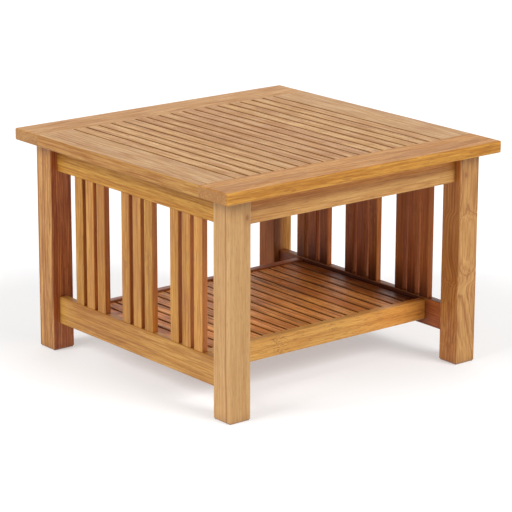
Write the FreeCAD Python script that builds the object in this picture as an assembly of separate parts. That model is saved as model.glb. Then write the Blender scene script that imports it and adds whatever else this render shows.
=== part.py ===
import FreeCAD, Part
import os

# A square low table of solid teak: a slatted top, two slatted sides and a slatted shelf.
# Lengths are in millimetres. The origin is on the floor under the middle of the table.
# The open ends face -Y (front) and +Y (back), and the slatted sides face -X (left) and +X (right).

# Whole table
table_width = 760.0
table_depth = 760.0
table_height = 503.0

# Top frame: two end boards run the full width, and two side boards fit between them
top_thickness = 26.0
top_board_width = 93.0
top_overhang = 34.0
top_corner_radius = 6.0
top_edge_radius = 3.0
board_tenon_length = 30.0
board_tenon_thickness = 10.0
board_tenon_shoulder = 15.0

# Legs
leg_size = 55.0
leg_edge_radius = 2.5
leg_foot_chamfer = 4.0

# Aprons under the top
apron_height = 63.0
apron_thickness = 20.0
apron_tenon_thickness = 10.0
apron_tenon_shoulder = 10.0

# Low rails of the two slatted sides
side_rail_clearance = 62.0
side_rail_height = 62.0
side_rail_thickness = 20.0
side_rail_tenon_length = 30.0
side_rail_tenon_thickness = 10.0
side_rail_tenon_shoulder = 10.0

# Rails at the front and back of the shelf
shelf_rail_height = 45.0
shelf_rail_thickness = 20.0
shelf_rail_drop = 4.0
shelf_rail_setback = 68.0
shelf_rail_tenon_length = 12.0
shelf_rail_tenon_thickness = 10.0
shelf_rail_tenon_shoulder = 10.0

# Planed-off edges along every apron and rail
rail_edge_chamfer = 1.5

# Slats of the top and the shelf: their widths follow from how many fill the opening
top_slat_count = 17
top_slat_gap = 5.0
shelf_slat_count = 18
shelf_slat_gap = 5.0
shelf_slat_drop = 4.0

# Upright slats of the sides
side_slats_in_group = 3
side_slat_groups = 3
side_slat_width = 28.5
side_slat_gap = 12.5

# All slats are planed to one thickness and have the same stub tenons
slat_thickness = 15.0
slat_edge_chamfer = 1.2
slat_tenon_length = 10.0
slat_tenon_thickness = 8.0
slat_tenon_shoulder = 4.0

# Battens under the slats: the top's batten fills the depth between the slats and the aprons
batten_width = 40.0
batten_housing = 8.0
shelf_batten_thickness = 15.0

# Cleats in the corners between the aprons and the top, which they are both fixed to
cleat_size = 20.0
cleat_length = 300.0

# Round pins that lock the apron tenons in the legs
pin_radius = 4.0
pin_beyond_tenon = 8.0
pin_stagger = 10.0

# Room left past the end of every tenon in its mortise
mortise_end_gap = 1.0

# Places that follow from the sizes
leg_centre_x = table_width / 2 - top_overhang - leg_size / 2
leg_centre_y = table_depth / 2 - top_overhang - leg_size / 2
leg_inner_x = leg_centre_x - leg_size / 2
leg_inner_y = leg_centre_y - leg_size / 2
leg_top = table_height - top_thickness
apron_bottom = leg_top - apron_height
apron_middle_z = leg_top - apron_height / 2
side_rail_top = side_rail_clearance + side_rail_height
side_rail_inner_x = leg_centre_x - side_rail_thickness / 2
shelf_rail_top = side_rail_top - shelf_rail_drop
shelf_rail_y = leg_inner_y - shelf_rail_setback - shelf_rail_thickness / 2
shelf_rail_inner_y = shelf_rail_y - shelf_rail_thickness / 2
shelf_slat_top = shelf_rail_top - shelf_slat_drop
frame_inner_x = table_width / 2 - top_board_width
frame_inner_y = table_depth / 2 - top_board_width
board_middle_x = frame_inner_x + top_board_width / 2
board_middle_y = frame_inner_y + top_board_width / 2

# The two apron tenons that meet at right angles in a leg stop just short of each other
apron_tenon_length = (leg_size - apron_tenon_thickness) / 2 - 2 * mortise_end_gap

LEFT, RIGHT = -1, 1
FRONT, BACK = -1, 1
parallel_share = 0.99
X_AXIS = FreeCAD.Vector(1, 0, 0)
Y_AXIS = FreeCAD.Vector(0, 1, 0)
Z_AXIS = FreeCAD.Vector(0, 0, 1)


def span(middle, size):
    """The two limits of a stretch of a given size about its middle."""
    return (middle - size / 2, middle + size / 2)


def block(x_limits, y_limits, z_limits):
    """A rectangular block between two limits along each axis, given in either order."""
    low = [min(limits) for limits in (x_limits, y_limits, z_limits)]
    high = [max(limits) for limits in (x_limits, y_limits, z_limits)]
    lengths = [end - start for start, end in zip(low, high)]
    return Part.makeBox(*lengths, FreeCAD.Vector(*low))


def edges_along(shape, axis):
    """The straight edges of a block that run along one axis."""
    def runs_along(edge):
        return abs(edge.tangentAt(edge.FirstParameter).dot(axis)) > parallel_share

    return [edge for edge in shape.Edges if runs_along(edge)]


def rounded(shape, axis, radius):
    """A block whose four edges along one axis are rounded."""
    return shape.makeFillet(radius, edges_along(shape, axis))


def chamfered(shape, axis, size):
    """A block whose four edges along one axis are planed off."""
    return shape.makeChamfer(size, edges_along(shape, axis))


def joined(body, pieces):
    """One solid made of a body and the tenons that grow from it."""
    return body.fuse(pieces).removeSplitter()


def tenon(axis, face, reach, middle, section):
    """A tenon that starts at a face and reaches along an axis: middle and section are given
    for the other two axes, in X, Y, Z order."""
    across = [span(*pair) for pair in zip(middle, section)]
    across.insert("xyz".index(axis), (face, face + reach))
    return block(*across)


def mortise(axis, face, reach, middle, section):
    """The hole for a tenon, cut a little deeper than the tenon is long."""
    gap = mortise_end_gap if reach > 0 else -mortise_end_gap
    return tenon(axis, face, reach + gap, middle, section)


def even_places(count, pitch):
    """Middles of a row of like pieces, spaced evenly about the middle of the table."""
    return [(number - (count - 1) / 2) * pitch for number in range(count)]


# Joints: each one is described once, for the piece with the tenon and the piece with the mortise

def end_apron_joint(side, end):
    """A front or back apron, where it enters a leg."""
    return dict(
        axis="x",
        face=side * leg_inner_x,
        reach=side * apron_tenon_length,
        middle=(end * leg_centre_y, apron_middle_z),
        section=(apron_tenon_thickness, apron_height - 2 * apron_tenon_shoulder),
    )


def side_apron_joint(side, end):
    """A left or right apron, where it enters a leg."""
    return dict(
        axis="y",
        face=end * leg_inner_y,
        reach=end * apron_tenon_length,
        middle=(side * leg_centre_x, apron_middle_z),
        section=(apron_tenon_thickness, apron_height - 2 * apron_tenon_shoulder),
    )


def side_rail_joint(side, end):
    """A low side rail, where it enters a leg."""
    return dict(
        axis="y",
        face=end * leg_inner_y,
        reach=end * side_rail_tenon_length,
        middle=(side * leg_centre_x, side_rail_clearance + side_rail_height / 2),
        section=(side_rail_tenon_thickness, side_rail_height - 2 * side_rail_tenon_shoulder),
    )


def shelf_rail_joint(side, end):
    """A shelf rail, where it enters a side rail."""
    return dict(
        axis="x",
        face=side * side_rail_inner_x,
        reach=side * shelf_rail_tenon_length,
        middle=(end * shelf_rail_y, shelf_rail_top - shelf_rail_height / 2),
        section=(shelf_rail_tenon_thickness, shelf_rail_height - 2 * shelf_rail_tenon_shoulder),
    )


def board_joint(side, end):
    """A side board of the top, where it enters an end board."""
    return dict(
        axis="y",
        face=end * frame_inner_y,
        reach=end * board_tenon_length,
        middle=(side * board_middle_x, table_height - top_thickness / 2),
        section=(top_board_width - 2 * board_tenon_shoulder, board_tenon_thickness),
    )


def slat_tenon_section(width):
    """Width and thickness of the stub tenon on a slat of a given width."""
    return (width - 2 * slat_tenon_shoulder, slat_tenon_thickness)


def top_slat_joint(x, end):
    """A slat of the top, where it enters an end board."""
    return dict(
        axis="y",
        face=end * frame_inner_y,
        reach=end * slat_tenon_length,
        middle=(x, table_height - slat_thickness / 2),
        section=slat_tenon_section(top_slat_width),
    )


def shelf_slat_joint(x, end):
    """A slat of the shelf, where it enters a shelf rail."""
    return dict(
        axis="y",
        face=end * shelf_rail_inner_y,
        reach=end * slat_tenon_length,
        middle=(x, shelf_slat_top - slat_thickness / 2),
        section=slat_tenon_section(shelf_slat_width),
    )


def side_slat_joints(side, y):
    """A slat of a side, where it enters the rail below and the apron above."""
    width, thickness = slat_tenon_section(side_slat_width)
    place = dict(middle=(side * leg_centre_x, y), section=(thickness, width))
    return [
        dict(axis="z", face=side_rail_top, reach=-slat_tenon_length, **place),
        dict(axis="z", face=apron_bottom, reach=slat_tenon_length, **place),
    ]


def batten(face_x, bottom_z, top_z):
    """A batten under the slats, with both ends let into the pieces beside it."""
    reach = face_x + batten_housing
    return block((-reach, reach), span(0, batten_width), (bottom_z, top_z))


def top_batten():
    """The batten of the top, between the slats and the level of the aprons' upper edges."""
    return batten(frame_inner_x, leg_top, table_height - slat_thickness)


def shelf_batten():
    """The batten of the shelf, under its slats."""
    top_z = shelf_slat_top - slat_thickness
    return batten(side_rail_inner_x, top_z - shelf_batten_thickness, top_z)


# Widths and places of the repeated slats

top_slat_width = (2 * frame_inner_x - (top_slat_count + 1) * top_slat_gap) / top_slat_count
top_slat_places = even_places(top_slat_count, top_slat_width + top_slat_gap)
shelf_slat_width = (2 * side_rail_inner_x - (shelf_slat_count + 1) * shelf_slat_gap) / shelf_slat_count
shelf_slat_places = even_places(shelf_slat_count, shelf_slat_width + shelf_slat_gap)
group_width = side_slats_in_group * side_slat_width + (side_slats_in_group - 1) * side_slat_gap
group_gap = (2 * leg_inner_y - side_slat_groups * group_width) / (side_slat_groups + 1)
group_pitch = group_width + group_gap
side_slat_places = [
    group_middle + slat_offset
    for group_middle in even_places(side_slat_groups, group_pitch)
    for slat_offset in even_places(side_slats_in_group, side_slat_width + side_slat_gap)
]


# Pins

def apron_pin_places(side, end):
    """Start and direction of the two pins in one leg, each through one apron's tenon."""
    half_tenon = apron_tenon_length / 2
    through_side_apron = FreeCAD.Vector(
        side * leg_inner_x, end * (leg_inner_y + half_tenon), apron_middle_z + pin_stagger)
    through_end_apron = FreeCAD.Vector(
        side * (leg_inner_x + half_tenon), end * leg_inner_y, apron_middle_z - pin_stagger)
    return [(through_side_apron, X_AXIS * side), (through_end_apron, Y_AXIS * end)]


def pins_in_leg(side, end):
    """The two pins of one leg, driven in from its hidden inner faces."""
    length = leg_size / 2 + apron_tenon_thickness / 2 + pin_beyond_tenon
    return [Part.makeCylinder(pin_radius, length, start, direction)
            for start, direction in apron_pin_places(side, end)]


all_pins = [pin for side in (LEFT, RIGHT) for end in (FRONT, BACK) for pin in pins_in_leg(side, end)]


# Pieces

def leg(side, end):
    """A square leg with rounded edges, mortised for two aprons and one low rail."""
    footprint = (span(side * leg_centre_x, leg_size), span(end * leg_centre_y, leg_size))
    post = rounded(block(*footprint, (0, leg_top)), Z_AXIS, leg_edge_radius)
    foot_edges = [edge for edge in post.Edges if edge.BoundBox.ZMax < leg_foot_chamfer / 2]
    post = post.makeChamfer(leg_foot_chamfer, foot_edges)
    joints = (end_apron_joint, side_apron_joint, side_rail_joint)
    sockets = [mortise(**joint(side, end)) for joint in joints]
    return post.cut(sockets + pins_in_leg(side, end))


def end_apron(end):
    """The front or back apron, tenoned into two legs."""
    footprint = ((-leg_inner_x, leg_inner_x), span(end * leg_centre_y, apron_thickness))
    board = block(*footprint, (apron_bottom, leg_top))
    tenons = [tenon(**end_apron_joint(side, end)) for side in (LEFT, RIGHT)]
    return joined(chamfered(board, X_AXIS, rail_edge_chamfer), tenons).cut(all_pins)


def side_apron(side):
    """The left or right apron, tenoned into two legs and mortised below for the side slats."""
    footprint = (span(side * leg_centre_x, apron_thickness), (-leg_inner_y, leg_inner_y))
    board = block(*footprint, (apron_bottom, leg_top))
    tenons = [tenon(**side_apron_joint(side, end)) for end in (FRONT, BACK)]
    sockets = [mortise(**side_slat_joints(side, y)[1]) for y in side_slat_places]
    return joined(chamfered(board, Y_AXIS, rail_edge_chamfer), tenons).cut(sockets + all_pins)


def side_rail(side):
    """A low side rail: it holds the feet of the side slats and one side of the shelf."""
    footprint = (span(side * leg_centre_x, side_rail_thickness), (-leg_inner_y, leg_inner_y))
    board = block(*footprint, (side_rail_clearance, side_rail_top))
    tenons = [tenon(**side_rail_joint(side, end)) for end in (FRONT, BACK)]
    sockets = [mortise(**side_slat_joints(side, y)[0]) for y in side_slat_places]
    sockets += [mortise(**shelf_rail_joint(side, end)) for end in (FRONT, BACK)]
    return joined(chamfered(board, Y_AXIS, rail_edge_chamfer), tenons).cut(sockets + [shelf_batten()])


def side_slats(side):
    """The upright slats of one side, in evenly spaced groups, as separate solids."""
    slats = []
    for y in side_slat_places:
        footprint = (span(side * leg_centre_x, slat_thickness), span(y, side_slat_width))
        board = block(*footprint, (side_rail_top, apron_bottom))
        tenons = [tenon(**joint) for joint in side_slat_joints(side, y)]
        slats.append(joined(chamfered(board, Z_AXIS, slat_edge_chamfer), tenons))
    return Part.makeCompound(slats)


def shelf_rail(end):
    """The front or back rail of the shelf, mortised inside for the ends of the shelf slats."""
    length = (-side_rail_inner_x, side_rail_inner_x)
    height = (shelf_rail_top - shelf_rail_height, shelf_rail_top)
    board = block(length, span(end * shelf_rail_y, shelf_rail_thickness), height)
    tenons = [tenon(**shelf_rail_joint(side, end)) for side in (LEFT, RIGHT)]
    sockets = [mortise(**shelf_slat_joint(x, end)) for x in shelf_slat_places]
    return joined(chamfered(board, X_AXIS, rail_edge_chamfer), tenons).cut(sockets)


def flat_slat(x, width, half_length, top_z, joint):
    """A slat that lies flat and runs front to back, with a stub tenon at each end."""
    board = block(span(x, width), (-half_length, half_length), (top_z - slat_thickness, top_z))
    tenons = [tenon(**joint(x, end)) for end in (FRONT, BACK)]
    return joined(chamfered(board, Y_AXIS, slat_edge_chamfer), tenons)


def top_slat(x):
    """A slat of the top, flush with the frame boards and held between the end boards."""
    return flat_slat(x, top_slat_width, frame_inner_y, table_height, top_slat_joint)


def shelf_slat(x):
    """A slat of the shelf, held between the shelf rails a little below their tops."""
    return flat_slat(x, shelf_slat_width, shelf_rail_inner_y, shelf_slat_top, shelf_slat_joint)


def end_board(end):
    """A full-width board of the top frame, rounded along its outer edges."""
    footprint = (span(0, table_width), (end * frame_inner_y, end * table_depth / 2))
    board = block(*footprint, (leg_top, table_height))
    corners = [edge for edge in edges_along(board, Z_AXIS) if abs(edge.CenterOfMass.y) > board_middle_y]
    board = board.makeFillet(top_corner_radius, corners)
    level = [edge for edge in board.Edges if edge.BoundBox.ZLength < top_edge_radius]
    rims = [edge for edge in level if abs(edge.CenterOfMass.y) > frame_inner_y + top_edge_radius]
    board = board.makeFillet(top_edge_radius, rims)
    sockets = [mortise(**board_joint(side, end)) for side in (LEFT, RIGHT)]
    sockets += [mortise(**top_slat_joint(x, end)) for x in top_slat_places]
    return board.cut(sockets)


def side_board(side):
    """A board of the top frame that fits between the two end boards."""
    footprint = ((side * frame_inner_x, side * table_width / 2), (-frame_inner_y, frame_inner_y))
    board = block(*footprint, (leg_top, table_height))
    rims = [edge for edge in edges_along(board, Y_AXIS) if abs(edge.CenterOfMass.x) > board_middle_x]
    board = board.makeFillet(top_edge_radius, rims)
    tenons = [tenon(**board_joint(side, end)) for end in (FRONT, BACK)]
    return joined(board, tenons).cut(top_batten())


def end_cleat(end):
    """The cleat inside the front or back apron, under the end board."""
    apron_face = end * (leg_centre_y - apron_thickness / 2)
    depth = (apron_face, apron_face - end * cleat_size)
    return block(span(0, cleat_length), depth, (leg_top - cleat_size, leg_top))


def side_cleat(side):
    """The cleat inside the left or right apron, under the side board."""
    apron_face = side * (leg_centre_x - apron_thickness / 2)
    width = (apron_face, apron_face - side * cleat_size)
    return block(width, span(0, cleat_length), (leg_top - cleat_size, leg_top))


def all_pieces():
    """Every sub-part of the table by name."""
    pieces = {}
    for side, side_name in ((LEFT, "left"), (RIGHT, "right")):
        for end, end_name in ((FRONT, "front"), (BACK, "back")):
            pieces[f"leg_{end_name}_{side_name}"] = leg(side, end)
        pieces[f"apron_{side_name}"] = side_apron(side)
        pieces[f"side_rail_{side_name}"] = side_rail(side)
        pieces[f"side_slats_{side_name}"] = side_slats(side)
        pieces[f"top_side_board_{side_name}"] = side_board(side)
        pieces[f"cleat_{side_name}"] = side_cleat(side)
    for end, end_name in ((FRONT, "front"), (BACK, "back")):
        pieces[f"apron_{end_name}"] = end_apron(end)
        pieces[f"shelf_rail_{end_name}"] = shelf_rail(end)
        pieces[f"top_end_board_{end_name}"] = end_board(end)
        pieces[f"cleat_{end_name}"] = end_cleat(end)
    for number, x in enumerate(top_slat_places, start=1):
        pieces[f"top_slat_{number:02d}"] = top_slat(x)
    for number, x in enumerate(shelf_slat_places, start=1):
        pieces[f"shelf_slat_{number:02d}"] = shelf_slat(x)
    pieces["top_batten"] = top_batten()
    pieces["shelf_batten"] = shelf_batten()
    pieces["apron_pins"] = Part.makeCompound(all_pins)
    return pieces


os.makedirs("parts", exist_ok=True)
for name, shape in all_pieces().items():
    shape.exportStep(f"parts/{name}.step")
    print(f"{name}: {len(shape.Solids)} solids, {shape.Volume:.0f} cubic mm, sound: {shape.isValid()}")
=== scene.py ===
# %% [markdown]
# The low table
#
# A square low table of solid teak: a framed top of slats, four square legs, two sides of upright
# slats and a slatted shelf. The sizes and places come from the imported frame, and this script gives
# the table its finish: wood that shows rings, pores and end grain, cut from a different plank for
# each piece, and the small screws that the frame leaves out.
#
# The frame is loaded first.

# %% Load the frame
import math

import bpy
from mathutils import Euler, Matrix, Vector


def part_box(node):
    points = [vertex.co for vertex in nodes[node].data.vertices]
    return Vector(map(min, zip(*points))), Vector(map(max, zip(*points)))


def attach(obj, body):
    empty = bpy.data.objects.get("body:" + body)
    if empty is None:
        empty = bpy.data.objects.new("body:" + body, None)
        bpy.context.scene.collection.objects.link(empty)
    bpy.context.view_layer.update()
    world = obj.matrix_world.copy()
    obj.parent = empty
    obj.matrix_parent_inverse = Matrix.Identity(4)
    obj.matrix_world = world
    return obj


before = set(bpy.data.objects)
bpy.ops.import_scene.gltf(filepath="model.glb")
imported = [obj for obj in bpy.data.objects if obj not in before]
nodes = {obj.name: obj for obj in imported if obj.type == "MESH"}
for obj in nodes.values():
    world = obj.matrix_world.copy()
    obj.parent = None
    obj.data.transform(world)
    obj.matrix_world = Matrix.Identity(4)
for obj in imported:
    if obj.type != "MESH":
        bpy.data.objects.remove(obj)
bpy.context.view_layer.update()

# %% [markdown]
# The camera
#
# The table is seen from a long way off with a long lens, a little above the top, so its upright
# edges stay upright and its far side is nearly as large as its near side. The place was worked out
# from the straight edges of the top and the legs. A camera can be aimed with a constraint, but an
# aim point, two angles and a distance say the same in numbers that are easy to change.

# %% Camera
AIM = Vector((-0.0030, -0.0057, 0.2277))
DISTANCE = 5.411
AZIMUTH = math.radians(-38.956)
ELEVATION = math.radians(15.715)
ROLL = math.radians(0.17)
FOCAL_LENGTH = 171.47
FARTHEST = 100.0
back = Vector((
    math.sin(AZIMUTH) * math.cos(ELEVATION),
    -math.cos(AZIMUTH) * math.cos(ELEVATION),
    math.sin(ELEVATION),
))

camera = bpy.data.objects.new("camera", bpy.data.cameras.new("camera"))
bpy.context.scene.collection.objects.link(camera)
camera.data.lens = FOCAL_LENGTH
camera.data.clip_end = FARTHEST
camera.location = AIM + back * DISTANCE
camera.rotation_mode = "QUATERNION"
camera.rotation_quaternion = (-back).to_track_quat("-Z", "Y") @ Euler((0, 0, ROLL)).to_quaternion()
bpy.context.scene.camera = camera
print("camera at", tuple(round(x, 3) for x in camera.location), "lens", FOCAL_LENGTH, "mm")

# %% [markdown]
# The studio lights
#
# The photographer used a white cove, with soft light from high in front and high on the left. So the
# top shades what is under it, while the outer faces and the top itself are about as bright as each
# other. Area lamps near the table would do that too, but they would light the floor in patches. Sun
# lamps with a wide angle light it evenly to its far end. A weak lamp behind puts a sheen on the top,
# and the even world fills the rest.

# %% Studio lights
WORLD_STRENGTH = 0.42
world = bpy.data.worlds.new("white_cove")
bpy.context.scene.world = world
world.use_nodes = True
world_inputs = world.node_tree.nodes["Background"].inputs
world_inputs["Color"].default_value = (1.0, 1.0, 1.0, 1.0)
world_inputs["Strength"].default_value = WORLD_STRENGTH
bpy.context.scene.view_settings.view_transform = "Standard"


def soft_light(name, direction, strength, spread):
    """A sun lamp that shines from a direction, blurred over an angle in degrees."""
    light = bpy.data.lights.new(name, "SUN")
    light.energy = strength
    light.angle = math.radians(spread)
    lamp = bpy.data.objects.new(name, light)
    bpy.context.scene.collection.objects.link(lamp)
    lamp.rotation_mode = "QUATERNION"
    lamp.rotation_quaternion = (-Vector(direction)).to_track_quat("-Z", "Y")


soft_light("front_light", direction=(0.20, -0.75, 0.62), strength=2.4, spread=30.0)
soft_light("left_light", direction=(-0.75, 0.10, 0.62), strength=2.1, spread=30.0)
soft_light("back_light", direction=(0.62, 0.70, 0.36), strength=0.35, spread=40.0)
print("lamps:", ", ".join(light.name for light in bpy.data.lights))

# %% [markdown]
# The floor
#
# The floor of a cove is white paper, which is lit from all round. A lamp bright enough to turn a
# plain floor white would bleach the table, so the sheet glows a little by itself. It stays pale and
# keeps a faint shadow that shows where the table stands.

# %% Floor
FLOOR_SIDE = 60.0
bpy.ops.object.select_all(action="DESELECT")
bpy.ops.mesh.primitive_plane_add(size=FLOOR_SIDE)
floor = bpy.context.object
floor.name = "studio_floor"
white_sheet = bpy.data.materials.new("white_sheet")
white_sheet.use_nodes = True
sheet = white_sheet.node_tree.nodes["Principled BSDF"].inputs
sheet["Base Color"].default_value = (0.56, 0.56, 0.56, 1.0)
sheet["Roughness"].default_value = 0.9
sheet["Emission Color"].default_value = (1.0, 1.0, 1.0, 1.0)
sheet["Emission Strength"].default_value = 0.40
floor.data.materials.append(white_sheet)
print("floor:", floor.dimensions.x, "by", floor.dimensions.y, "m")

# %% [markdown]
# How wood gets its pattern
#
# A tree grows one ring a year, so a plank is a block cut out of nested tubes. Where a face of the
# plank runs along the tubes it shows straight lines, where it only just touches them it shows
# arches, and its ends show arcs. A flat pattern would have to be matched on each face by hand. A
# solid pattern that measures how far a point is from the middle of the tree, its pith, gives all
# the faces at once. So the pattern is worked out in space, from the place of each point.
#
# A few small helpers keep the node trees short. The first two add a node and join its inputs, and
# do sums on numbers. The rest work on places, ranges of numbers, noise and colours.

# %% Helpers for node trees
X, Y, Z = 0, 1, 2


def add_node(tree, kind, inputs=None, **settings):
    """Adds a shader node; each input gets a number, a colour or another node's output."""
    node = tree.nodes.new("ShaderNode" + kind)
    for name, value in settings.items():
        setattr(node, name, value)
    for name, value in (inputs or {}).items():
        if isinstance(value, bpy.types.NodeSocket):
            tree.links.new(value, node.inputs[name])
        else:
            node.inputs[name].default_value = value
    return node


def calculate(tree, operation, *values):
    """The result of one sum on numbers or outputs."""
    return add_node(tree, "Math", dict(enumerate(values)), operation=operation).outputs[0]


def combine(tree, operation, *places, output="Vector"):
    """The result of one sum on places or directions."""
    return add_node(tree, "VectorMath", dict(enumerate(places)), operation=operation).outputs[output]


def coordinate(tree, place, axis):
    """One coordinate of a place or a direction."""
    return add_node(tree, "SeparateXYZ", {0: place}).outputs[axis]


def place_on_table(tree):
    """The place of a point in metres, from the middle of the floor under the table."""
    return add_node(tree, "TexCoord").outputs["Object"]


print("helpers for nodes and sums ready")

# %% More helpers: ranges, noise and colours
def rescale(tree, value, low, high, new_low=0.0, new_high=1.0):
    """A value turned from one range into another, and held inside it."""
    limits = {"Value": value, "From Min": low, "From Max": high, "To Min": new_low, "To Max": new_high}
    return add_node(tree, "MapRange", limits).outputs["Result"]


def stretched_noise(tree, place, across, along, detail, output=0, roughness=0.5):
    """Noise with so many features in a metre across the grain and along it."""
    scaled = combine(tree, "MULTIPLY", place, (across, across, along))
    values = {"Vector": scaled, "Scale": 1.0, "Detail": detail, "Roughness": roughness}
    return add_node(tree, "TexNoise", values).outputs[output]


def blend(tree, share, first, second, mode="MIX"):
    """Two colours mixed by a share."""
    node = add_node(tree, "Mix", data_type="RGBA", blend_type=mode)
    for socket, value in zip((node.inputs[0], node.inputs[6], node.inputs[7]), (share, first, second)):
        if isinstance(value, bpy.types.NodeSocket):
            tree.links.new(value, socket)
        else:
            socket.default_value = value
    return node.outputs[2]


print("helpers for ranges, noise and colours ready")

# %% [markdown]
# The grain of teak
#
# Teak is ring-porous: each year starts with a row of large pores and ends in a thin dark line. Over
# that lie slow bands of lighter and darker wood, dark oily streaks, fine fibres that run along the
# plank, and pores that are cut open into short dark dashes. A trunk also bends a little as it grows.
# Where its pith swings towards a face and away again, the rings on that face close into long ovals.
#
# A wave texture draws rings too, but all alike. A group that works them out from the distance to the
# pith lets every year have its own width and strength. It takes the place of a point, with the pith
# along Z, and gives each feature as a number from 0 to 1, so that every piece can mix them in its own
# way. First come the rings. Wander bends them slowly, Ripple gives them a small wave, and Pointed
# sharpens the tips of their arches.

# %% Grain group: sockets
GRAIN_INPUTS = (
    "Shift", "Ring width", "Line width", "Unevenness", "Wander", "Pointed", "Clear core",
    "Faintest line", "Ripple",
)
GRAIN_OUTPUTS = ("Line", "Band", "Streak", "Fibre", "Pore", "Blotch")
grain = bpy.data.node_groups.new("teak_grain", "ShaderNodeTree")
grain.interface.new_socket("Place", in_out="INPUT", socket_type="NodeSocketVector")
for name in GRAIN_INPUTS:
    grain.interface.new_socket(name, in_out="INPUT", socket_type="NodeSocketFloat")
for name in GRAIN_OUTPUTS:
    grain.interface.new_socket(name, in_out="OUTPUT", socket_type="NodeSocketFloat")
given = grain.nodes.new("NodeGroupInput").outputs
result = grain.nodes.new("NodeGroupOutput").inputs
print("grain group:", len(GRAIN_INPUTS) + 1, "inputs and", len(GRAIN_OUTPUTS), "outputs")

# %% Grain group: distance from the pith
MIDDLE_GREY = (0.5, 0.5, 0.5)
ACROSS_THE_PITH = (1.0, 1.0, 0.0)

trunk_shift = add_node(grain, "CombineXYZ", {Z: given["Shift"]}).outputs[0]
seed_place = combine(grain, "ADD", given["Place"], trunk_shift)

slow = stretched_noise(grain, seed_place, across=9.0, along=2.2, detail=1.5, output="Color")
slow = combine(grain, "SUBTRACT", slow, MIDDLE_GREY)
bend = add_node(grain, "VectorMath", {0: slow, "Scale": given["Wander"]}, operation="SCALE").outputs[0]
bent_place = combine(grain, "ADD", given["Place"], bend)

radius = combine(grain, "LENGTH", combine(grain, "MULTIPLY", bent_place, ACROSS_THE_PITH), output="Value")
sideways = calculate(grain, "ABSOLUTE", coordinate(grain, bent_place, X))
radius = calculate(grain, "MULTIPLY_ADD", sideways, given["Pointed"], radius)
wave = stretched_noise(grain, seed_place, across=70.0, along=30.0, detail=2.0)
wave = calculate(grain, "SUBTRACT", wave, 0.5)
radius = calculate(grain, "MULTIPLY_ADD", wave, given["Ripple"], radius)
print("distance:", len(grain.nodes), "nodes")

# %% Grain group: years
YEARS_PER_SHIFT = 5.3


def year_noise(years, scale, detail):
    """Noise that changes from year to year."""
    values = {"W": years, "Scale": scale, "Detail": detail}
    return add_node(grain, "TexNoise", values, noise_dimensions="1D").outputs[0]


years = calculate(grain, "DIVIDE", radius, given["Ring width"])
years = calculate(grain, "MULTIPLY_ADD", given["Shift"], YEARS_PER_SHIFT, years)
good_years = year_noise(years, scale=0.23, detail=1.0)
years = calculate(grain, "MULTIPLY_ADD", good_years, given["Unevenness"], years)
season = calculate(grain, "FRACT", years)
print("rings:", len(grain.nodes), "nodes")

# %% [markdown]
# The rest of the group turns the season of each ring into its dark line, and adds what is spread by
# noise. Good years give strong lines and poor years faint ones, and the wood inside Clear core has
# none. Noise that is stretched along the pith gives streaks and fibres. Painted streaks would have to
# be drawn anew for each plank. A map range node cuts the middle out of a noise, so that only its
# peaks are left.

# %% Grain group: lines
YEAR_END = 0.92
to_line = calculate(grain, "SUBTRACT", YEAR_END, season)
to_line = calculate(grain, "MULTIPLY", to_line, given["Ring width"])
late = calculate(grain, "SUBTRACT", given["Line width"], to_line)
late = rescale(grain, calculate(grain, "DIVIDE", late, given["Line width"]), 0.0, 1.0)
late = calculate(grain, "POWER", late, 2.0)
early = rescale(grain, season, YEAR_END, 1.0, new_low=1.0, new_high=0.0)
strength_of_year = year_noise(years, scale=0.9, detail=0.0)
strength_of_year = rescale(grain, strength_of_year, 0.3, 0.65, new_low=given["Faintest line"])
outside_core = calculate(grain, "GREATER_THAN", radius, given["Clear core"])
line = calculate(grain, "MULTIPLY", late, early)
line = calculate(grain, "MULTIPLY", line, strength_of_year)
line = calculate(grain, "MULTIPLY", line, outside_core)
grain.links.new(line, result["Line"])
print("lines:", len(grain.nodes), "nodes")

# %% Grain group: bands, streaks, fibres and pores
band = year_noise(years, scale=0.33, detail=3.0)
streak = stretched_noise(grain, seed_place, across=250.0, along=6.0, detail=3.0)
fibre = stretched_noise(grain, seed_place, across=240.0, along=12.0, detail=3.0)
blotch = stretched_noise(grain, seed_place, across=20.0, along=4.0, detail=4.0, roughness=0.72)
pore = stretched_noise(grain, seed_place, across=620.0, along=50.0, detail=1.0)
early_pores = rescale(grain, season, 0.0, 0.7, new_low=1.0, new_high=0.35)
pore = calculate(grain, "MULTIPLY", rescale(grain, pore, 0.55, 0.68), early_pores)

grain.links.new(rescale(grain, band, 0.3, 0.7), result["Band"])
grain.links.new(rescale(grain, streak, 0.55, 0.66), result["Streak"])
grain.links.new(rescale(grain, fibre, 0.38, 0.62), result["Fibre"])
grain.links.new(rescale(grain, blotch, 0.3, 0.7), result["Blotch"])
grain.links.new(pore, result["Pore"])
print("grain group:", len(grain.nodes), "nodes")
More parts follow.
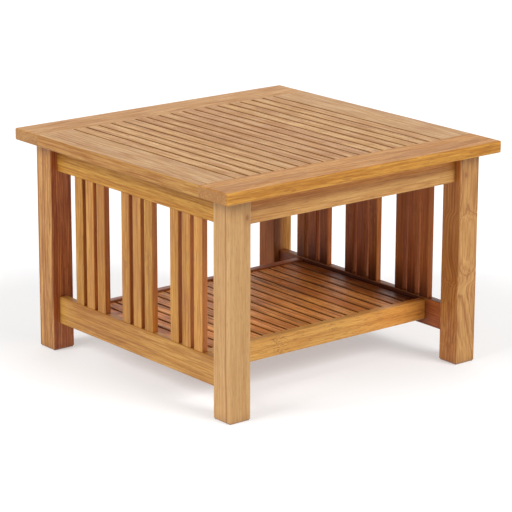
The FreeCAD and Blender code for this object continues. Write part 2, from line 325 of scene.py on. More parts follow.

# %% [markdown]
# One finish for every piece
#
# The table is sanded, oiled teak. All its pieces share one recipe, and what differs is the plank:
# which way its grain runs, where its pith was, how wide its rings are and what tone it has. A row of
# slats is cut from many planks. There the number of the slat, which is its place divided by the pitch
# of the row, chooses the tone and moves the pattern.
#
# The recipe is in short steps. The first finds the place of a point in its plank. Most piths are
# straight. A pith that bends follows a path of a few given points, and a curve node joins them up,
# because that puts each arch where it is wanted, which noise can't do.

# %% A pith that bends
def along_curve(tree, along, points):
    """A distance that follows points given along the plank, each a place and a distance."""
    places, distances = zip(*points)
    start, length = places[0], places[-1] - places[0]
    least, most = min(distances), max(distances)
    node = add_node(tree, "FloatCurve", {"Value": rescale(tree, along, places[0], places[-1])})
    curve = node.mapping.curves[0]
    for place in places[1:-1]:
        curve.points.new((place - start) / length, 0.5)
    for point, place, distance in zip(curve.points, places, distances):
        point.location = ((place - start) / length, (distance - least) / (most - least))
    node.mapping.update()
    return rescale(tree, node.outputs[0], 0.0, 1.0, least, most)


print("curves ready")

# %% Place in the plank
ACROSS_DEEP_ALONG = {"x": (Y, Z, X), "y": (Z, X, Y), "z": (X, Y, Z)}
SHIFT_PER_SLAT = 1.37


def slat_number(tree, place, row):
    """Which slat of a row a point is in, and how far it is from the middle of that slat."""
    from_first = calculate(tree, "SUBTRACT", place, row["first"])
    number = calculate(tree, "ROUND", calculate(tree, "DIVIDE", from_first, row["pitch"]))
    from_middle = calculate(tree, "SUBTRACT", from_first, calculate(tree, "MULTIPLY", number, row["pitch"]))
    return number, from_middle


def place_in_plank(tree, plank):
    """The place of a point measured from the pith, its shift along the trunk and its slat's number."""
    spot = add_node(tree, "SeparateXYZ", {0: place_on_table(tree)}).outputs
    local = [calculate(tree, "SUBTRACT", spot[axis], plank["middle"][axis]) for axis in (X, Y, Z)]
    row, shift, number = plank["row"], plank["shift"], None
    if row:
        number, local[row["axis"]] = slat_number(tree, spot[row["axis"]], row)
        shift = calculate(tree, "MULTIPLY_ADD", number, SHIFT_PER_SLAT, shift)
    first, second, length = ACROSS_DEEP_ALONG[plank["along"]]
    aside, depth = plank["pith"]
    if plank["path"]:
        aside = along_curve(tree, local[length], [(place, aside) for place, aside, _ in plank["path"]])
        depth = along_curve(tree, local[length], [(place, depth) for place, _, depth in plank["path"]])
    across = calculate(tree, "ADD", local[first], aside)
    deep = calculate(tree, "ADD", local[second], depth)
    place = add_node(tree, "CombineXYZ", {X: across, Y: deep, Z: local[length]}).outputs[0]
    return place, shift, number


print("grain can run along", ", ".join(ACROSS_DEEP_ALONG))

# %% [markdown]
# The second step mixes the colours. Each plank could have its own ramp of colours, but one middle
# tone is easier to match, and keeps the planks one family: the lightest and darkest wood are worked
# out from it. Bands, blotches and fibres choose between them. Ring lines, streaks and pores are then
# laid over in brown, and the ends are darkened, because open grain drinks more of the oil.

# %% Colours of the wood
LIGHTEST_SHARES = (1.22, 1.28, 1.45)
DARKEST_SHARES = (0.80, 0.65, 0.50)
MOST_RED = 0.9
LATE_WOOD = (0.23, 0.073, 0.013, 1.0)
OPEN_GRAIN = (0.17, 0.060, 0.015, 1.0)
END_GRAIN = (0.31, 0.184, 0.107, 1.0)
END_DARKNESS = 0.35


def paler(tone):
    """The lightest wood of a plank with this middle tone."""
    red, green, blue = (part * share for part, share in zip(tone, LIGHTEST_SHARES))
    return (min(red, MOST_RED), green, blue, 1.0)


def deeper(tone):
    """The darkest wood of a plank with this middle tone."""
    return (*(part * share for part, share in zip(tone, DARKEST_SHARES)), 1.0)


def facing(tree, axis):
    """How far a face is turned along one axis, from -1 to 1."""
    return coordinate(tree, add_node(tree, "TexCoord").outputs["Normal"], axis)


def lay_grain_over(tree, colour, wood, plank, end):
    """Ring lines, streaks, pores and end grain, laid over a colour in brown."""
    layers = (
        (wood["Line"], plank["lines"], LATE_WOOD),
        (wood["Streak"], plank["streaks"], LATE_WOOD),
        (wood["Pore"], plank["pores"], OPEN_GRAIN),
        (end, END_DARKNESS, END_GRAIN),
    )
    for amount, strength, brown in layers:
        colour = blend(tree, calculate(tree, "MULTIPLY", amount, strength), colour, brown)
    return colour


print("ring lines are", LATE_WOOD[:3])

# %% [markdown]
# In a row, the tone of a slat moves the choice towards dark or light, and its warmth leans it to gold
# or to rose, as wood of different trees does. A material for each slat would do the same with many
# times the nodes. A ramp with a step for each slat looks its tone up by number instead.

# %% Tones of a row of slats
SHADOW = (0.110, 0.036, 0.006, 1.0)
GOLDEN = (0.97, 1.0, 0.82, 1.0)
ROSY = (1.03, 0.97, 1.20, 1.0)


def lookup(tree, number, tones):
    """The tone of each slat of a row, from a stepped ramp."""
    share = calculate(tree, "DIVIDE", calculate(tree, "ADD", number, 0.5), len(tones))
    ramp = add_node(tree, "ValToRGB", {"Fac": share})
    ramp.color_ramp.interpolation = "CONSTANT"
    stops = ramp.color_ramp.elements
    stops.remove(stops[1])
    for index, tone in enumerate(tones):
        stop = stops[0] if index == 0 else stops.new(index / len(tones))
        stop.color = (tone, tone, tone, 1.0)
    return ramp.outputs["Color"]


def bare_wood(tree, wood, plank, number):
    """The colour of the wood before anything is laid over it."""
    shade = 0.5 - (plank["bands"] + plank["blotches"] + plank["fibres"]) / 2
    for part, strength in (("Band", "bands"), ("Blotch", "blotches"), ("Fibre", "fibres")):
        shade = calculate(tree, "ADD", shade, calculate(tree, "MULTIPLY", wood[part], plank[strength]))
    if number:
        tone = lookup(tree, number, plank["row"]["tones"])
        shade = calculate(tree, "ADD", shade, calculate(tree, "SUBTRACT", tone, 0.5))
    return blend(tree, shade, paler(plank["tone"]), deeper(plank["tone"]))


def tell_slats_apart(tree, colour, row, number):
    """Leans each slat of a row to gold or to rose, and paints shade on its sides in the gaps."""
    if row["shaded_sides"]:
        side = rescale(tree, calculate(tree, "ABSOLUTE", facing(tree, row["axis"])), 0.55, 0.85)
        colour = blend(tree, calculate(tree, "MULTIPLY", side, row["shaded_sides"]), colour, SHADOW)
    hue = blend(tree, lookup(tree, number, row["warmths"]), GOLDEN, ROSY)
    return blend(tree, row["hues"], colour, hue, mode="MULTIPLY")


print("tones ready")

# %% [markdown]
# Some marks belong to one plank alone: a knot where a branch grew, a dark vein that runs the length
# of the plank, and a patch of short flecks. Each is drawn by how far a point is from it, because a
# mark on its own has no pattern to repeat. A knot in a leg is cut at a slant, so it is longer upwards.

# %% Knots, veins and flecks
KNOT = (0.19, 0.065, 0.014, 1.0)
KNOT_SHAPE = (1.0, 1.0, 0.6)
KNOT_RINGS = 14.0
VEIN_WAVER = 0.012
FLECKS_IN_A_METRE = (150.0, 400.0, 400.0)


def add_knot(tree, colour, spot, knot, size):
    """A dark core with faint rings round it."""
    squeezed = combine(tree, "MULTIPLY", spot, KNOT_SHAPE)
    centre = tuple(place * share for place, share in zip(knot, KNOT_SHAPE))
    away = combine(tree, "DISTANCE", squeezed, centre, output="Value")
    ring = calculate(tree, "SINE", calculate(tree, "MULTIPLY", away, KNOT_RINGS / size))
    halo = rescale(tree, away, size, size * 3.0, new_low=0.5, new_high=0.0)
    halo = calculate(tree, "MULTIPLY", halo, rescale(tree, ring, -1.0, 1.0, new_low=0.4))
    colour = blend(tree, halo, colour, LATE_WOOD)
    return blend(tree, rescale(tree, away, size * 0.4, size, new_low=0.7, new_high=0.0), colour, KNOT)


def add_vein(tree, colour, spot, axis, place, width):
    """A dark line along a plank, which wavers by a few millimetres."""
    waver = stretched_noise(tree, spot, across=8.0, along=5.0, detail=2.0)
    waver = calculate(tree, "MULTIPLY", calculate(tree, "SUBTRACT", waver, 0.5), VEIN_WAVER)
    away = calculate(tree, "SUBTRACT", coordinate(tree, spot, axis), place)
    away = calculate(tree, "ABSOLUTE", calculate(tree, "ADD", away, waver))
    return blend(tree, rescale(tree, away, 0.0, width, new_low=0.8, new_high=0.0), colour, LATE_WOOD)


def add_flecks(tree, colour, spot, centre, size):
    """Short dark dashes along X around a centre."""
    stretched = combine(tree, "MULTIPLY", spot, FLECKS_IN_A_METRE)
    dash = add_node(tree, "TexNoise", {"Vector": stretched, "Scale": 1.0, "Detail": 1.0}).outputs[0]
    away = combine(tree, "DISTANCE", spot, centre, output="Value")
    near = rescale(tree, away, size * 0.5, size, new_low=0.6, new_high=0.0)
    return blend(tree, calculate(tree, "MULTIPLY", rescale(tree, dash, 0.54, 0.62), near), colour, KNOT)


def add_marks(tree, colour, plank):
    """All the marks of one plank."""
    spot = place_on_table(tree)
    for kind, add in (("knots", add_knot), ("veins", add_vein), ("flecks", add_flecks)):
        for mark in plank[kind]:
            colour = add(tree, colour, spot, *mark)
    return colour


print("marks ready")

# %% [markdown]
# The third step paints light and shade into the colour. A face that looks inwards gets little light,
# and what reaches it has bounced from other teak, so it looks redder and darker. Such faces get a
# tint of their own, which is painted shade. A drift is a tint that changes from one place to
# another: some drifts are changes of tone along a board, and others paint shade and light. The
# corners between pieces are darkened with painted shade. It could be painted on by hand, but an
# Ambient Occlusion node says how much of the space round a point is filled by other wood, so it
# finds those corners by itself.

# %% Tints and painted corner shade
# The brown that is multiplied into corners as painted shade.
CORNER_SHADE = (0.42, 0.26, 0.20, 1.0)
LEFT = (X, -1.0)
FRONT = (Y, -1.0)
BACK = (Y, 1.0)
UP = (Z, 1.0)
ALL_FACES = None
NO_TINT = (1.0, 1.0, 1.0)


def looking(tree, axis, sign):
    """1 on the faces that look one way along an axis, and 0 on the others."""
    return rescale(tree, calculate(tree, "MULTIPLY", facing(tree, axis), sign), 0.6, 0.9)


def tint_places(tree, colour, plank):
    """Tints whole faces of a piece, and lets other tints drift from one place to another; many of these
    tints paint shade and light.
    """
    for face, tint in plank["faces"].items():
        colour = blend(tree, looking(tree, *face), colour, (*tint, 1.0), mode="MULTIPLY")
    for axis, start, first_tint, stop, last_tint, face in plank["drifts"]:
        share = rescale(tree, coordinate(tree, place_on_table(tree), axis), start, stop)
        tint = blend(tree, share, (*first_tint, 1.0), (*last_tint, 1.0))
        colour = blend(tree, looking(tree, *face) if face else 1.0, colour, tint, mode="MULTIPLY")
    return colour


def add_grime(tree, colour, plank):
    """Paints shade on the wood where other pieces stand close round it."""
    openness = add_node(tree, "AmbientOcclusion", {"Distance": plank["reach"]}, samples=8).outputs["AO"]
    hidden = rescale(tree, openness, 0.1, 0.8, new_low=plank["grime"], new_high=0.0)
    return blend(tree, hidden, colour, CORNER_SHADE, mode="MULTIPLY")


def wood_colour(tree, wood, plank, number, end):
    """The colour of a point of a plank, from bare wood to the painted shade in its corners."""
    colour = bare_wood(tree, wood, plank, number)
    colour = lay_grain_over(tree, colour, wood, plank, end)
    if number:
        colour = tell_slats_apart(tree, colour, plank["row"], number)
    colour = add_marks(tree, colour, plank)
    colour = tint_places(tree, colour, plank)
    return add_grime(tree, colour, plank)


print("tints ready")

# %% [markdown]
# The last step adds wear, gloss and relief. A bevel modifier could round the finest edges, but it
# would change the meshes of the frame. A Bevel node leaves them alone, and gives the normal of an
# edge as if it were rounded. Where that differs from the true normal there is an edge, which hands
# and cloths have rubbed lighter. The same rounded normal makes every edge catch the light. Oiled teak
# is satin: the fibres vary its roughness, and pores and ring lines are sunk a little. Wood that is
# seldom rubbed has less shine than a leg, so each plank has its own.

# %% Wear and relief
FIBRE_HEIGHT = 0.35
LINE_DEPTH = 0.3
LEAST_WEAR = 0.3


def worn_edges(tree, wood, plank, rounded):
    """How far the edges are rubbed pale, more on some fibres than on others."""
    flat = add_node(tree, "NewGeometry").outputs["Normal"]
    edge = rescale(tree, combine(tree, "DOT_PRODUCT", rounded, flat, output="Value"), 0.995, 0.90)
    amount = rescale(tree, wood["Fibre"], 0.2, 0.9, plank["wear"] * LEAST_WEAR, plank["wear"])
    return calculate(tree, "MULTIPLY", edge, amount)


def relief_of(tree, wood):
    """The height of the surface: fibres stand up, pores and ring lines are sunk."""
    height = calculate(tree, "MULTIPLY", wood["Fibre"], FIBRE_HEIGHT)
    height = calculate(tree, "SUBTRACT", height, wood["Pore"])
    return calculate(tree, "SUBTRACT", height, calculate(tree, "MULTIPLY", wood["Line"], LINE_DEPTH))


print("wear ready")

# %% [markdown]
# Planks differ in many small ways, so each is a dictionary of settings. A class would do as well, but
# a dictionary can be laid over the usual one with a single sign. Then each piece names only what is
# special about its own wood. Lengths are in metres, and strengths run from 0 to about 1.

# %% Recipe for teak
# Each plank also sets the reach and the strength of the shade painted into its corners.
PLANK = dict(
    pith=(0.02, 0.06), path=(), shift=0.0, ring=0.005, line_width=0.003, unevenness=4.0, wander=0.014,
    ripple=0.004, pointed=0.0, clear_core=0.0, faintest=0.15, bands=0.5, blotches=0.6, fibres=0.7,
    lines=0.5, streaks=0.6, pores=0.5, knots=(), veins=(), flecks=(), faces={}, drifts=(), reach=0.04,
    grime=0.6, wear=0.5, shine=0.4, row=None,
)
GROUP_SETTINGS = {
    "Ring width": "ring", "Line width": "line_width", "Unevenness": "unevenness", "Wander": "wander",
    "Pointed": "pointed", "Clear core": "clear_core", "Faintest line": "faintest", "Ripple": "ripple",
}
ROUNDING = 0.0016
SATIN = 0.42
FIBRE_ROUGHNESS = 0.14
END_ROUGHNESS = 0.2
RELIEF = dict(Strength=0.35, Distance=0.0004)


def grain_of(tree, plank):
    """The grain group set up for a plank, and the number of the slat."""
    place, shift, number = place_in_plank(tree, plank)
    settings = {socket: plank[key] for socket, key in GROUP_SETTINGS.items()}
    settings |= {"Place": place, "Shift": shift}
    return add_node(tree, "Group", settings, node_tree=grain).outputs, number


def teak(name, **plank):
    """Oiled teak cut from a plank that is described by its tone, its grain and its place."""
    plank = PLANK | plank
    material = bpy.data.materials.new(name)
    material.use_nodes = True
    tree = material.node_tree
    shader = tree.nodes["Principled BSDF"]
    wood, number = grain_of(tree, plank)
    lengthwise = facing(tree, ACROSS_DEEP_ALONG[plank["along"]][2])
    end = rescale(tree, calculate(tree, "ABSOLUTE", lengthwise), 0.8, 0.98)
    rounded = add_node(tree, "Bevel", {"Radius": ROUNDING}, samples=4).outputs[0]
    colour = wood_colour(tree, wood, plank, number, end)
    colour = blend(tree, worn_edges(tree, wood, plank, rounded), colour, paler(plank["tone"]))
    tree.links.new(colour, shader.inputs["Base Color"])
    shader.inputs["Specular IOR Level"].default_value = plank["shine"]
    roughness = calculate(tree, "MULTIPLY_ADD", wood["Fibre"], FIBRE_ROUGHNESS, SATIN)
    roughness = calculate(tree, "MULTIPLY_ADD", end, END_ROUGHNESS, roughness)
    tree.links.new(roughness, shader.inputs["Roughness"])
    bump = add_node(tree, "Bump", {"Height": relief_of(tree, wood), "Normal": rounded, **RELIEF})
    tree.links.new(bump.outputs[0], shader.inputs["Normal"])
    return material


print("a plank has", len(PLANK), "settings")

# %% [markdown]
# Dressing the pieces of the frame
#
# The pieces come from the frame with their shape and place, and are not moved or reshaped here. A
# piece is dressed by putting a material in its slots. The pattern needs the middle of each piece,
# which is half way between the corners of its box. Most pieces share a few tones, from pale sapwood
# to red heartwood.

# %% Dressing
PALE = (0.485, 0.285, 0.104)
GOLD = (0.47, 0.230, 0.056)
AMBER = (0.46, 0.200, 0.027)
RED = (0.36, 0.100, 0.024)
# The inner tint is painted shade: the redder, darker look of faces that look into the table.
INNER_SHADE_TINT = (0.85, 0.56, 0.95)


def dress(names, material):
    """Puts a material on frame nodes."""
    for name in names:
        piece = nodes[name]
        if not piece.material_slots:
            piece.data.materials.append(material)
        for slot in piece.material_slots:
            slot.material = material


def middle(name):
    """The middle of a frame node."""
    low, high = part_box(name)
    return (low + high) / 2


def dress_each(planks, **shared):
    """Gives each named piece a plank of its own."""
    for name, plank in planks.items():
        dress([name], teak("teak_" + name, middle=middle(name), **(shared | plank)))
    print(len(planks), "pieces:", ", ".join(planks))


print("the middle of a leg is at", tuple(round(x, 4) for x in middle("leg_front_left")))

# %% [markdown]
# The legs
#
# A leg carries the load along its length, so its grain runs upright. It is a square stick sawn from a
# thick plank, and on each leg the pith lies in another place. The front left leg is pale and straight
# grained, with a small knot near its top and one dark line along its left face. The front right leg
# was cut near the pith, where the trunk swung, so its front face shows ovals and arches, and two
# small knots near the top. The arches stand where the path of its pith puts them: each point of the
# path is a height from the middle of the leg, and how far the pith lies beside and behind it there.

# %% Legs
LEG_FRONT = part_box("leg_front_left")[0].y
ARCHES = (
    (-0.2385, 0.003, 0.0690), (-0.220, 0.004, 0.0696), (-0.186, 0.010, 0.0724), (-0.147, 0.016, 0.0755),
    (-0.110, 0.020, 0.0761), (-0.069, 0.024, 0.0800), (-0.055, 0.012, 0.0806), (-0.0415, 0.0, 0.0800),
    (-0.030, 0.0, 0.0765), (-0.0084, 0.0, 0.0690), (0.010, 0.0, 0.0660), (0.0425, 0.0, 0.0650),
    (0.075, 0.0, 0.0660), (0.093, 0.0, 0.0690), (0.105, 0.0, 0.0770), (0.1125, 0.0, 0.0800),
    (0.130, 0.0, 0.0806), (0.2385, 0.0, 0.0806),
)
# The tints on single faces of the legs are painted shade: the front face of the front left leg a little
# darker, the inner face of the front right leg redder, and the front face of the back left leg darker and
# redder. Both faces of the back right leg are painted darker, and its drifts paint a band of shade near its
# inner edge and painted light towards its outer edge.
dress_each({
    "leg_front_left": dict(
        tone=PALE, pith=(0.075, 0.060), shift=0.2, ring=0.0045, bands=0.2, streaks=0.12, lines=0.15,
        fibres=0.3, blotches=0.3, pores=0.4, faces={FRONT: (0.86, 0.85, 0.82)},
        knots=[((-0.301, LEG_FRONT, 0.435), 0.005)], veins=[(Y, -0.3325, 0.003)]),
    "leg_front_right": dict(
        tone=(0.395, 0.199, 0.052), path=ARCHES, shift=1.08369, wander=0.004, ring=0.0085,
        pointed=0.12, ripple=0.007, clear_core=0.0480, line_width=0.0024, faintest=0.8, unevenness=0.0,
        lines=0.9, bands=0.5, streaks=0.25, pores=0.3, faces={LEFT: (1.27, 1.03, 0.81)},
        knots=[((0.348, LEG_FRONT, 0.401), 0.009), ((0.3075, LEG_FRONT, 0.431), 0.0052)]),
    "leg_back_left": dict(
        tone=GOLD, pith=(0.055, 0.020), shift=2.3, ring=0.004, wander=0.026, bands=0.9, lines=1.0,
        faintest=0.4, streaks=0.9, fibres=0.9, pores=0.7, faces={FRONT: (0.95, 0.60, 0.58)}),
    "leg_back_right": dict(
        tone=GOLD, pith=(0.030, 0.070), shift=3.4, shine=0.2,
        faces={LEFT: (0.50, 0.29, 0.18), FRONT: (0.73, 0.64, 0.52)},
        drifts=[(X, 0.311, (0.72, 0.64, 0.74), 0.317, NO_TINT, FRONT),
                (X, 0.315, (0.86, 0.80, 0.87), 0.342, (1.28, 1.48, 1.22), FRONT)]),
}, along="z")

# %% [markdown]
# Aprons and rails
#
# These boards lie on edge between the legs, so their grain runs level. They are cut further from the
# pith than the legs are, so their lines are nearly straight. The top overhangs the front apron and
# shades its upper part. Two drifts paint that shadow on it, darker and redder, because the lamps
# alone leave it too even, and one drift paints the lower part of the left apron lighter, as painted
# light below the shadow of the top. The front shelf rail has two patches of short flecks. The inner
# faces of the back apron and the right apron, and the inner face and top of the back shelf rail, get
# the tint of painted shade. The right side rail has painted shade on its inner face and its top,
# darkest behind the front of the shelf, and strong painted shade in its corners.

# %% Aprons and rails
RAIL_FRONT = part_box("shelf_rail_front")[0].y
dress_each({
    "apron_front": dict(
        tone=(0.48, 0.256, 0.068), pith=(0.01, 0.07), shift=0.4, fibres=0.5,
        drifts=[(Z, 0.435, NO_TINT, 0.443, (0.80, 0.65, 0.45), FRONT),
                (Z, 0.447, NO_TINT, 0.455, (1.38, 1.30, 0.88), FRONT)]),
    "apron_back": dict(tone=GOLD, pith=(0.02, 0.08), shift=1.7, faces={FRONT: INNER_SHADE_TINT}),
    "shelf_rail_front": dict(
        tone=(0.54, 0.285, 0.055), pith=(0.02, 0.06), shift=5.2, streaks=0.25, lines=0.3, bands=0.25,
        fibres=0.4, pores=0.8, grime=0.2,
        drifts=[(X, 0.06, (0.94, 0.93, 0.93), 0.29, (1.20, 0.98, 0.88), ALL_FACES)],
        flecks=[((-0.114, RAIL_FRONT, 0.100), 0.032), ((0.034, RAIL_FRONT, 0.106), 0.015)]),
    "shelf_rail_back": dict(
        tone=GOLD, pith=(0.01, 0.05), shift=6.3, faces={FRONT: INNER_SHADE_TINT, UP: INNER_SHADE_TINT}),
}, along="x")
dress_each({
    "apron_left": dict(
        tone=(0.44, 0.193, 0.025), pith=(0.07, 0.01), shift=2.2, shine=0.2,
        drifts=[(Z, 0.440, (1.12, 1.28, 1.55), 0.462, NO_TINT, LEFT)]),
    "apron_right": dict(tone=AMBER, pith=(0.08, 0.02), shift=3.1, faces={LEFT: INNER_SHADE_TINT}),
    "side_rail_left": dict(
        tone=(0.41, 0.182, 0.028), pith=(0.05, 0.02), shift=0.9,
        drifts=[(Y, -0.25, (1.11, 1.27, 1.50), 0.18, (0.95, 0.95, 0.95), ALL_FACES),
                (Y, 0.22, NO_TINT, 0.28, (1.14, 1.30, 1.55), ALL_FACES)]),
    "side_rail_right": dict(
        tone=AMBER, pith=(0.06, 0.01), shift=4.6, reach=0.12, grime=0.9,
        faces={LEFT: (1.02, 0.68, 0.96), UP: (0.45, 0.30, 0.35)},
        drifts=[(Y, -0.25, NO_TINT, -0.20, (0.34, 0.28, 0.30), LEFT)]),
}, along="y")

# %% [markdown]
# The frame boards of the top
#
# The two end boards run the full width, so their end grain shows at the corners of the left and right
# edges. The side boards are tenoned between them. Wide boards are cut through the middle of a trunk,
# so their rings wander more than those of a leg. A board also turns slowly from heartwood to sapwood
# over its length. One tone would miss that, so gentle drifts run along the edges that face the
# camera. A seldom oiled top has little shine.

# %% Top boards
dress_each({
    "top_end_board_front": dict(
        tone=(0.43, 0.186, 0.031), pith=(0.01, 0.09), shift=0.3, pores=0.8, bands=0.3,
        faces={FRONT: (1.06, 1.10, 0.98)},
        drifts=[(X, -0.20, (1.0, 1.05, 1.08), 0.30, (1.0, 1.03, 0.90), ALL_FACES)]),
    "top_end_board_back": dict(tone=(0.43, 0.220, 0.060), pith=(0.03, 0.08), shift=1.2),
}, along="x", wander=0.018, streaks=0.5, fibres=0.6, shine=0.2)
dress_each({
    "top_side_board_left": dict(
        tone=(0.41, 0.223, 0.067), pith=(0.08, 0.02), shift=2.7, faces={LEFT: (0.95, 0.80, 0.62)},
        drifts=[(Y, -0.26, (1.10, 1.25, 1.10), 0.05, (1.0, 1.05, 1.0), LEFT)]),
    "top_side_board_right": dict(tone=(0.39, 0.208, 0.063), pith=(0.09, 0.01), shift=3.9),
}, along="y", wander=0.018, streaks=0.6, fibres=0.7, bands=0.5, shine=0.3)

# %% [markdown]
# The slats
#
# A slatted top lets rain through and lets each slat swell without pushing its neighbours. The slats
# are cut from leftovers, so their tones differ, and their sides in the gaps are painted darker, as
# painted shade. One material serves a whole row. The lists give the tone of each slat, from left to
# right: 0.5 is the middle, and more is darker. The same list read backwards gives the warmths, which
# saves a second list and still looks unplanned.

# %% Slats of the top
def row_of(names, tones, shaded_sides, hues):
    """Where the slats of a row start and how far apart they are, measured on the frame."""
    first, last = middle(names[0]).x, middle(names[-1]).x
    return dict(axis=X, first=first, pitch=(last - first) / (len(names) - 1), tones=tones,
                warmths=tones[::-1], shaded_sides=shaded_sides, hues=hues)


top_slats = [f"top_slat_{number:02d}" for number in range(1, 18)]
top_tones = [
    0.48, 0.33, 0.30, 0.38, 0.40, 0.57, 0.68, 0.72, 0.55, 0.46, 0.62, 0.48, 0.44, 0.52, 0.42, 0.46, 0.5,
]
dress(top_slats, teak(
    "teak_top_slats", tone=(0.435, 0.227, 0.061), along="y", middle=middle(top_slats[0]),
    pith=(0.07, 0.0), shift=0.6, shine=0.3, pores=0.9, fibres=1.0,
    row=row_of(top_slats, top_tones, shaded_sides=0.8, hues=0.6),
))
print(len(top_slats), "slats in the top")

# %% [markdown]
# The shelf has a redder tone than the frame, which paints the red look that light bounced from teak
# gives it in the shade of the top. Its painted corner shade reaches far in from the rails. Two drifts
# paint shade and light into the whole row at once: darker towards the front and lighter towards the
# back, and a painted shadow along its right edge, where a tone for each slat could only darken whole
# slats. The dark tones at both ends of its list are painted shade as well.

# %% Slats of the shelf
shelf_slats = [f"shelf_slat_{number:02d}" for number in range(1, 19)]
shelf_tones = [
    0.9, 0.75, 0.9, 0.7, 0.8, 0.5, 0.6, 0.7, 0.8, 0.45, 0.6, 0.8, 0.15, 0.8, 0.5, 0.7, 0.7, 1.2,
]
dress(shelf_slats, teak(
    "teak_shelf_slats", tone=(0.77, 0.297, 0.054), along="y", middle=middle(shelf_slats[0]),
    pith=(0.07, 0.0), shift=0.9, shine=0.2, reach=0.15, grime=0.8, streaks=1.0, bands=0.8, fibres=1.2,
    blotches=0.9, pores=0.8, row=row_of(shelf_slats, shelf_tones, shaded_sides=0.9, hues=0.8),
    drifts=[(Y, -0.30, (0.66, 0.70, 0.77), 0.20, (1.10, 1.12, 1.10), ALL_FACES),
            (X, 0.235, NO_TINT, 0.290, (0.42, 0.38, 0.42), ALL_FACES)],
))
print(len(shelf_slats), "slats in the shelf")

# %% [markdown]
# The upright slats of a side are one piece of the frame, in three groups of three. Their places are
# spread unevenly, but a pitch of one slat and one narrow gap still gives each of them a number of its
# own. So the lists have eleven entries for nine slats, from front to back.

# %% Slats of the sides
SIDE_PITCH = 0.041
# The tints on the front and back faces of the slats are painted shade in the gaps between them. On the
# right side, the inner faces get the tint of painted shade, and a drift paints them darker towards the
# shelf, as painted shadow at their feet.
SIDES = {
    "left": dict(
        tones=[0.0, 0.7, 0.33, 0.5, 0.9, 0.45, 0.8, 0.5, 1.0, 0.33, 0.48],
        warmths=[1.0, 0.7, 0.6, 0.5, 0.1, 0.8, 0.6, 0.5, 0.5, 1.0, 0.3],
        plank=dict(
            tone=(0.435, 0.208, 0.027), wear=0.5, reach=0.02, grime=0.5,
            faces={FRONT: (1.08, 0.77, 0.78), BACK: (1.08, 0.77, 0.78)})),
    "right": dict(
        tones=[0.1, 0.6, 0.35, 0.5, 0.6, 0.45, 0.6, 0.5, 0.8, 0.35, 0.5],
        warmths=[0.7, 0.7, 0.3, 0.5, 0.1, 0.8, 0.6, 0.5, 0.5, 0.8, 0.2],
        plank=dict(
            tone=(0.425, 0.204, 0.026), wear=0.1, reach=0.02, grime=0.3, shine=0.15,
            faces={FRONT: (0.83, 0.52, 0.80), BACK: (0.83, 0.52, 0.80), LEFT: INNER_SHADE_TINT},
            drifts=[(Z, 0.124, (0.36, 0.30, 0.33), 0.20, NO_TINT, LEFT)])),
}
for side, slats in SIDES.items():
    name = "side_slats_" + side
    first = -SIDE_PITCH * (len(slats["tones"]) - 1) / 2
    row = dict(axis=Y, first=first, pitch=SIDE_PITCH, tones=slats["tones"], warmths=slats["warmths"],
               shaded_sides=0.0, hues=1.0)
    dress_each({name: slats["plank"]}, along="z", pith=(0.06, 0.0), shift=0.3, streaks=0.5, row=row)

# %% [markdown]
# Hidden wood
#
# A batten under each row of slats keeps them level, and cleats hold the top on its aprons. Nobody
# sees these, so they are plain offcuts. A flat brown would do, but the recipe for teak costs no more:
# one tone, and a shift for each of them. The pins that lock the aprons show their end grain.

# %% Battens, cleats and pins
for along, first_shift, names in (
    ("x", 7.0, ("top_batten", "shelf_batten", "cleat_front", "cleat_back")),
    ("y", 8.5, ("cleat_left", "cleat_right")),
):
    offcuts = {name: dict(tone=AMBER, shift=first_shift + number) for number, name in enumerate(names)}
    dress_each(offcuts, along=along)
dress_each({"apron_pins": dict(tone=RED, shift=3.3)}, along="x")

# %% [markdown]
# The screws
#
# Each slat is held by one screw, driven up through the batten, and each cleat by a row of them. The
# frame leaves such small fasteners out. A screw head is a low dome with a cross cut in it. It could be
# a slice of a sphere, but that has many faces where only a few are seen. The head starts as a short
# cylinder instead, and its outer face is drawn out and narrowed in steps until it is a dome.

# %% One screw head
HEAD_RADIUS = 0.0038
HEAD_SINK = 0.0012
HEAD_SIDES = 16
DOME_STEPS = ((0.0005, 0.0004), (0.0006, 0.0009), (0.0003, 0.0010))
FACING_DOWN = -0.9
HEAD_MIDDLE = (0.0, 0.0, 0.0)


def outermost(mesh):
    """The lowest face that looks straight down."""
    downward = [face for face in mesh.polygons if face.normal.z < FACING_DOWN]
    return min(downward, key=lambda face: (round(face.center.z, 6), -face.area))


bpy.ops.object.select_all(action="DESELECT")
bpy.ops.mesh.primitive_cylinder_add(
    vertices=HEAD_SIDES, radius=HEAD_RADIUS, depth=HEAD_SINK, location=(0.0, 0.0, HEAD_SINK / 2))
head = bpy.context.object
head.name = "screw_head"
bpy.ops.object.transform_apply(location=True, rotation=True, scale=True)
for rise, shrink in DOME_STEPS:
    for part in (*head.data.polygons, *head.data.edges, *head.data.vertices):
        part.select = False
    outermost(head.data).select = True
    narrower = 1 - shrink / HEAD_RADIUS
    bpy.ops.object.mode_set(mode="EDIT")
    bpy.ops.mesh.select_mode(type="FACE")
    bpy.ops.mesh.extrude_region_move(TRANSFORM_OT_translate={"value": (0.0, 0.0, -rise)})
    bpy.ops.transform.resize(value=(narrower, narrower, 1.0), center_override=HEAD_MIDDLE)
    bpy.ops.object.mode_set(mode="OBJECT")
print("head:", len(head.data.polygons), "faces,", round(head.dimensions.x * 1000, 1), "mm wide")

# %% [markdown]
# The cross is where the driver fits. It is cut by a thin block, used twice, a quarter turn apart. One
# cross-shaped cutter would have to be modelled first, and the block is there at once.

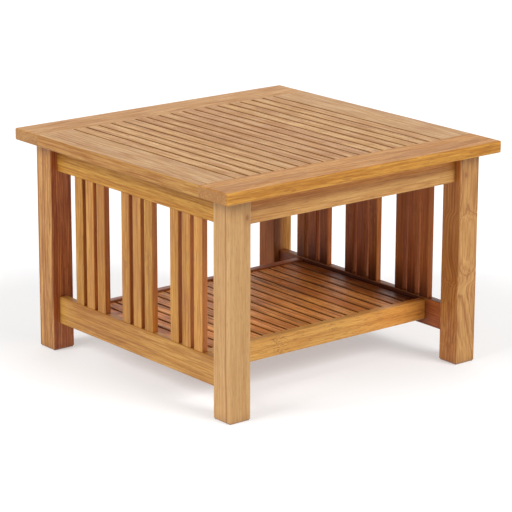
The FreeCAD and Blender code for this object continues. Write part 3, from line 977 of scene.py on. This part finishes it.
# %% The cross in the head
SLOT_SIZE = (0.0040, 0.0009, 0.0020)
SLOT_HEIGHT = -0.0014
for turn in (0.0, 90.0):
    bpy.ops.object.select_all(action="DESELECT")
    bpy.ops.mesh.primitive_cube_add(size=1.0, location=(0.0, 0.0, SLOT_HEIGHT), scale=SLOT_SIZE)
    cutter = bpy.context.object
    bpy.ops.transform.rotate(value=math.radians(turn), orient_axis="Z", center_override=HEAD_MIDDLE)
    bpy.ops.object.transform_apply(location=True, rotation=True, scale=True)
    bpy.context.view_layer.objects.active = head
    cut = head.modifiers.new("cross", "BOOLEAN")
    cut.operation = "DIFFERENCE"
    cut.solver = "EXACT"
    cut.object = cutter
    bpy.ops.object.modifier_apply(modifier=cut.name)
    bpy.data.objects.remove(cutter)
print("head with its cross:", len(head.data.polygons), "faces")

# %% [markdown]
# The steel of the screws
#
# Small stainless screws are turned and rolled, so they show fine rings round their middle and a few
# dull patches. Each screw's rings would need its own middle, so a noise of fine grains is used, which
# looks the same on a head of this size.

# %% Steel
CLEAN_STEEL = (0.62, 0.60, 0.57, 1.0)
DULL_STEEL = (0.40, 0.37, 0.33, 1.0)
POLISHED = 0.28
BRUSHED = 0.46
steel = bpy.data.materials.new("screw_steel")
steel.use_nodes = True
tree = steel.node_tree
shader = tree.nodes["Principled BSDF"]
spot = place_on_table(tree)
grains = add_node(tree, "TexNoise", {"Vector": spot, "Scale": 2600.0, "Detail": 2.0}).outputs[0]
patches = add_node(tree, "TexNoise", {"Vector": spot, "Scale": 240.0, "Detail": 2.0}).outputs[0]
colour = blend(tree, rescale(tree, patches, 0.35, 0.65), CLEAN_STEEL, DULL_STEEL)
tree.links.new(colour, shader.inputs["Base Color"])
tree.links.new(rescale(tree, grains, 0.3, 0.7, POLISHED, BRUSHED), shader.inputs["Roughness"])
shader.inputs["Metallic"].default_value = 1.0
bump = add_node(tree, "Bump", {"Strength": 0.15, "Distance": 0.0001, "Height": grains})
tree.links.new(bump.outputs[0], shader.inputs["Normal"])
head.data.materials.append(steel)
print("steel:", len(tree.nodes), "nodes")

# %% [markdown]
# Where the screws go
#
# One screw goes up through the batten into the middle of each slat. A cleat has four along its
# length. Instances of one head would be lighter, but the pieces of the table are plain meshes. So the
# head is copied with its mesh, and the copies are joined into one piece for each batten and cleat.
# Each screw's cross stops at its own angle, because nobody lines them up.

# %% Rows of screws
TURN_PER_SCREW = 2.4
CLEAT_SCREW_SHARES = (0.1, 0.37, 0.63, 0.9)


def screw_row(name, spots):
    """Copies of the head, each at its spot on an underside, joined into one piece."""
    copies = []
    for number, spot in enumerate(spots):
        copy = bpy.data.objects.new(name, head.data.copy())
        bpy.context.scene.collection.objects.link(copy)
        copy.location = spot
        copy.rotation_euler = (0.0, 0.0, number * TURN_PER_SCREW)
        copies.append(copy)
    bpy.ops.object.select_all(action="DESELECT")
    for copy in copies:
        copy.select_set(True)
    bpy.context.view_layer.objects.active = copies[0]
    bpy.ops.object.transform_apply(location=True, rotation=True, scale=True)
    bpy.ops.object.join()
    copies[0].name = name
    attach(copies[0], "root")
    print(name + ":", len(spots))


for name, slats in (("top_batten", top_slats), ("shelf_batten", shelf_slats)):
    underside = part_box(name)[0].z
    screw_row(name + "_screws", [(middle(slat).x, 0.0, underside) for slat in slats])
for side, axis in (("left", Y), ("right", Y), ("front", X), ("back", X)):
    name = "cleat_" + side
    low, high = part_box(name)
    spots = []
    for share in CLEAT_SCREW_SHARES:
        spot = middle(name)
        spot[axis] = low[axis] + share * (high[axis] - low[axis])
        spot.z = low.z
        spots.append(spot)
    screw_row(name + "_screws", spots)
bpy.data.objects.remove(head)
